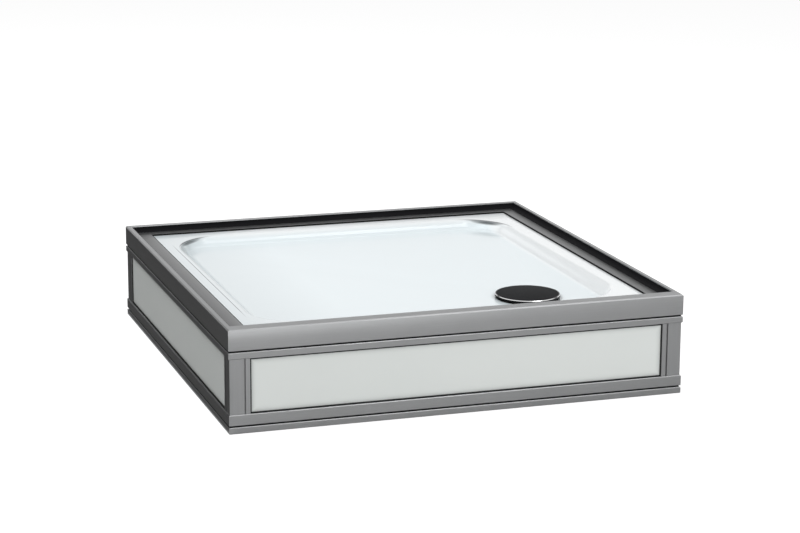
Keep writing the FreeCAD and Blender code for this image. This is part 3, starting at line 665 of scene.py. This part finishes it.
def cover_chrome():
    """Polished chrome with hair-fine wiping marks on the ring's bevel. Its flat top and its side
    are blackened like the plate."""
    finish = surface_finish("cover_chrome", Metallic=1.0)
    marks = finish.noise(finish.place((60, 900, 900)), 1.0)
    x, y, z = finish.axes()
    bevel_radius = COVER_RADIUS - RING_BEVEL
    bevel_z = cover_high.z - RING_DROP - RING_BEVEL
    on_bevel = from_drain(x, y).fade(bevel_radius, bevel_radius + BEVEL_EDGE) * \
        z.fade(bevel_z, bevel_z + BEVEL_EDGE)
    chrome = finish.blend(marks, *CHROME_TONES)
    return dress(finish, Base_Color=finish.blend(on_bevel, RING_BLACK, chrome),
                 Roughness=marks * 0.06 + RING_BLACK_ROUGH - on_bevel * RING_BRIGHT_LESS)


# ---------------------------------------------------------------- finishes out of sight

def moulded_plastic(name, dark, light, roughness):
    """Moulded plastic with a fine spark-eroded texture."""
    finish = surface_finish(name, Specular_IOR_Level=0.4)
    fine = finish.noise(finish.place(), 1100.0, detail=2.0)
    cloud = finish.noise(finish.place(), 25.0)
    return dress(finish, Base_Color=finish.blend(cloud, dark, light),
                 Roughness=fine * 0.15 + roughness,
                 Normal=finish.bump(fine, strength=0.12, distance=0.0002))


def trap_plastic():
    return moulded_plastic("trap_plastic", dark=(0.76, 0.76, 0.75), light=(0.84, 0.84, 0.83),
                           roughness=0.42)


def insert_plastic():
    return moulded_plastic("insert_plastic", dark=(0.24, 0.25, 0.26), light=(0.30, 0.31, 0.32),
                           roughness=0.40)


def catch_plastic():
    return moulded_plastic("catch_plastic", dark=(0.035, 0.035, 0.037),
                           light=(0.055, 0.055, 0.058), roughness=0.48)


def foot_plastic():
    return moulded_plastic("foot_plastic", dark=(0.030, 0.030, 0.031), light=(0.050, 0.050, 0.051),
                           roughness=0.55)


def waste_steel():
    """Brushed stainless steel of the waste flange."""
    finish = surface_finish("waste_steel", Metallic=1.0)
    lines = finish.noise(finish.place((20, 700, 700)), 1.0)
    return dress(finish, Base_Color=finish.blend(lines, (0.50, 0.50, 0.49), (0.63, 0.63, 0.62)),
                 Roughness=lines * 0.15 + 0.22,
                 Normal=finish.bump(lines, strength=0.10, distance=0.0001))


def zinc_steel():
    """Zinc plating with its cloudy, faintly blue and yellow passivation."""
    finish = surface_finish("zinc_steel", Metallic=1.0)
    cloud = finish.noise(finish.place(), 60.0, detail=4.0)
    tint = finish.ramp(cloud, [(0.3, (0.46, 0.49, 0.53)), (0.55, (0.58, 0.58, 0.56)),
                               (0.75, (0.62, 0.60, 0.50))])
    return dress(finish, Base_Color=tint, Roughness=cloud * 0.20 + 0.25)


def cast_cleat():
    """Die-cast aluminium with a dull, pitted skin."""
    finish = surface_finish("cast_cleat", Metallic=1.0)
    pits = finish.noise(finish.place(), 500.0, detail=4.0)
    return dress(finish, Base_Color=finish.blend(pits, (0.38, 0.38, 0.39), (0.52, 0.52, 0.53)),
                 Roughness=pits * 0.20 + 0.42,
                 Normal=finish.bump(pits, strength=0.3, distance=0.0003))


def laminated_board():
    """Laminated board: thin layers one above the other, and a grain along X."""
    finish = surface_finish("laminated_board", Specular_IOR_Level=0.25)
    layers = finish.noise(finish.place((1, 1, 350)), 1.0, detail=1.0)
    grain = finish.noise(finish.place((4, 160, 160)), 1.0, detail=4.0)
    tone = finish.ramp((layers * 0.5 + grain * 0.5).within(),
                       [(0.3, (0.30, 0.20, 0.11)), (0.5, (0.46, 0.34, 0.21)),
                        (0.7, (0.56, 0.44, 0.29))])
    return dress(finish, Base_Color=tone, Roughness=grain * 0.2 + 0.55,
                 Normal=finish.bump(grain, strength=0.2, distance=0.0003))


# ---------------------------------------------------------------- dressing the parts

def paint(names, material):
    """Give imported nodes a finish."""
    for name in names:
        for slot in frame["nodes"][name].material_slots:
            slot.material = material


def named(prefixes, ends):
    """Node names made of each prefix and each end."""
    return [prefix + end for prefix in prefixes for end in ends]


def dress_packed_nodes():
    """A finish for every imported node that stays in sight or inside."""
    along_x = rail_aluminium("x")
    along_y = rail_aluminium("y")
    along_z = rail_aluminium("z")
    paint(named(["upper_profile_"], ["front", "back"]), upper_aluminium("x"))
    paint(named(["upper_profile_"], ["left", "right"]), upper_aluminium("y"))
    paint(named(RAILS, ["front", "back"]), along_x)
    paint(named(RAILS, ["left", "right"]), along_y)
    paint(named(["stiles_"], SIDES) + named(["corner_post_"], CORNERS), along_z)
    paint(named(["glass_pane_"], SIDES), white_glass())
    paint(named(["glazing_gasket_"], SIDES), glazing_rubber())
    paint(named(["channel_liner_"], SIDES[1:]), rebate_black())
    paint(named(["levelling_foot_"], CORNERS), foot_plastic())
    paint(["rim_seal", "waste_seals"], seal_rubber())
    paint(["rim_bedding"], bedding_foam())
    paint(["groove_strips"], groove_black())
    paint(["corner_cleats"], cast_cleat())
    paint(["post_screws", "tie_plates", "tie_screws", "foot_sockets"], zinc_steel())
    paint(["panel_catches"], catch_plastic())
    paint(["underbody_board"], laminated_board())
    paint(["waste_flange"], waste_steel())
    paint(["trap_body", "outlet_nut", "outlet_elbow"], trap_plastic())
    paint(["trap_insert", "hair_strainer"], insert_plastic())


def fit(piece, body, material, node):
    """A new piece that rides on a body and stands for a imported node."""
    piece.data.materials.append(material)
    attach(piece, body)
    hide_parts(node)


def dress_new_pieces():
    """The shell and the two pieces of the drain cover, in place of their plain nodes."""
    fit(tray_shell(), "tray_frame", tray_acrylic(), "tray_shell")
    fit(cover_plate(), "drain_cover", cover_black(), "drain_cover")
    fit(cover_ring(), "drain_cover", cover_chrome(), "cover_ring")


# ---------------------------------------------------------------- studio

def camera():
    """Camera at the photograph's place, with its slight roll."""
    data = bpy.data.cameras.new("photo_camera")
    data.sensor_width = SENSOR
    data.lens = FOCAL_PIXELS / IMAGE_WIDTH * SENSOR
    holder = bpy.data.objects.new("photo_camera", data)
    turn = Matrix.Rotation(CAMERA_TURN, 4, "Z")
    rise = Matrix.Rotation(math.pi / 2 - CAMERA_DOWN, 4, "X")
    roll = Matrix.Rotation(CAMERA_ROLL, 4, "Z")
    holder.location = CAMERA_PLACE
    holder.rotation_euler = (turn @ rise @ roll).to_euler()
    bpy.context.scene.collection.objects.link(holder)
    bpy.context.scene.camera = holder


def direction(azimuth, elevation):
    """Unit vector from the tray: azimuth 0 is the front and 90 the right."""
    turn, rise = math.radians(azimuth), math.radians(elevation)
    return Vector((math.sin(turn) * math.cos(rise), -math.cos(turn) * math.cos(rise),
                   math.sin(rise)))


def softbox(name, level, azimuth, elevation, size, mirrored=True):
    """Square area lamp aimed at the tray; a white card there that faces it gets the brightness
    level. Where it isn't mirrored, shiny surfaces don't show it."""
    data = bpy.data.lights.new(name, "AREA")
    data.size = size
    data.energy = level * (math.pi * LAMP_DISTANCE) ** 2
    lamp = bpy.data.objects.new(name, data)
    lamp.location = direction(azimuth, elevation) * LAMP_DISTANCE
    lamp.rotation_euler = direction(azimuth, elevation).to_track_quat("Z", "Y").to_euler()
    lamp.visible_camera = False
    lamp.visible_glossy = mirrored
    bpy.context.scene.collection.objects.link(lamp)


def seen_directly(finish):
    """Two amounts: 1 for rays from the camera, and 1 for rays from a mirror or through glass. Both
    are 0 for the light on matt faces."""
    path = finish.node("ShaderNodeLightPath")
    camera_ray, glossy, through = [Amount(finish, path.outputs[name]) for name in
                                   ("Is Camera Ray", "Is Glossy Ray", "Is Transmission Ray")]
    return camera_ray, glossy.most(through)


def world():
    """Even white surround: full white when seen, dimmer as light."""
    surround = Finish(bpy.data.worlds.new("studio_surround"))
    camera_ray, mirrored = seen_directly(surround)
    background = surround.tree.nodes["Background"]
    surround.feed(background.inputs["Strength"], 1.0)
    surround.feed(background.inputs["Color"],
                  surround.blend(camera_ray.most(mirrored), (AMBIENT,) * 3, WHITE))
    bpy.context.scene.world = surround.owner


def stage_sheet(name, grid, material):
    """Open sheet of the studio from a grid of points: each row joins the next."""
    rows, columns = grid.shape[:2]
    row, column = np.meshgrid(np.arange(rows - 1), np.arange(columns - 1), indexing="ij")
    start = (row * columns + column).ravel()
    faces = np.stack([start, start + 1, start + columns + 1, start + columns], axis=-1)
    mesh = bpy.data.meshes.new(name)
    mesh.from_pydata(grid.reshape(-1, 3).tolist(), [], faces.tolist())
    mesh.materials.append(material)
    sheet = bpy.data.objects.new(name, mesh)
    bpy.context.scene.collection.objects.link(sheet)
    return sheet


def studio_floor():
    """Pale floor that keeps the tray's shadow. It glows for the camera, but not where the tray
    stands."""
    finish = surface_finish("pale_floor", Base_Color=(FLOOR_TONE,) * 3, Roughness=1.0,
                            Specular_IOR_Level=0.0, Emission_Strength=1.0)
    camera_ray, mirrored = seen_directly(finish)
    in_metal = finish.blend(mirrored, BLACK, (FLOOR_IN_METAL,) * 3)
    x, y, z = finish.axes()
    beside_tray = abs(x).most(abs(y)).fade(HALF - FOOTPRINT_INSET, HALF)
    dress(finish,
          Emission_Color=finish.blend(camera_ray * beside_tray, in_metal, (FLOOR_GLOW,) * 3))
    ends = np.array([-FLOOR_HALF, FLOOR_HALF])
    stage_sheet("studio_floor", points(ends[None, :], ends[:, None], 0.0), finish.owner)


def flag(name, grid, tone):
    """Studio card that only shows in shiny surfaces, to give them a darker or a brighter side."""
    finish = surface_finish(name, Base_Color=BLACK, Roughness=1.0, Specular_IOR_Level=0.0,
                            Emission_Color=(tone,) * 3, Emission_Strength=1.0)
    card = stage_sheet(name, grid, finish.owner)
    card.visible_camera = False
    card.visible_diffuse = False
    card.visible_transmission = False
    card.visible_shadow = False


def left_flag(tone):
    """Card on the floor along the left side that turns up into a wall."""
    x, y, z = [np.array(row) for row in (LEFT_FLAG_X, LEFT_FLAG_Y, LEFT_FLAG_Z)]
    flag("left_flag", points(x[None, :], y[:, None], z[None, :]), tone)


def band(name, turns, heights, tone):
    """Part of an upright cylinder round the tray, between two turns in degrees: 0 is the front and
    90 the right."""
    angle = np.radians(np.linspace(*turns, CARD_STEPS))[None, :]
    height = np.array(heights)[:, None]
    flag(name, points(CARD_RADIUS * np.sin(angle), -CARD_RADIUS * np.cos(angle), height), tone)


def studio():
    """Camera, surround and floor, then the cards that the metal shows and the lamps."""
    camera()
    world()
    studio_floor()
    left_flag(tone=0.10)
    band("back_flag", turns=(70, 250), heights=BACK_FLAG_HEIGHTS, tone=0.03)
    band("front_card", turns=(-60, 15), heights=CARD_HEIGHTS, tone=1.7)
    band("right_card", turns=(17, 60), heights=CARD_HEIGHTS, tone=0.70)
    softbox("key_softbox", level=0.53, azimuth=-115, elevation=62, size=2.4, mirrored=False)
    softbox("edge_softbox", level=0.08, azimuth=48, elevation=66, size=1.0)
    softbox("front_softbox", level=0.42, azimuth=12, elevation=24, size=2.4, mirrored=False)
    bpy.context.scene.view_settings.view_transform = "Standard"


dress_packed_nodes()
dress_new_pieces()
studio()
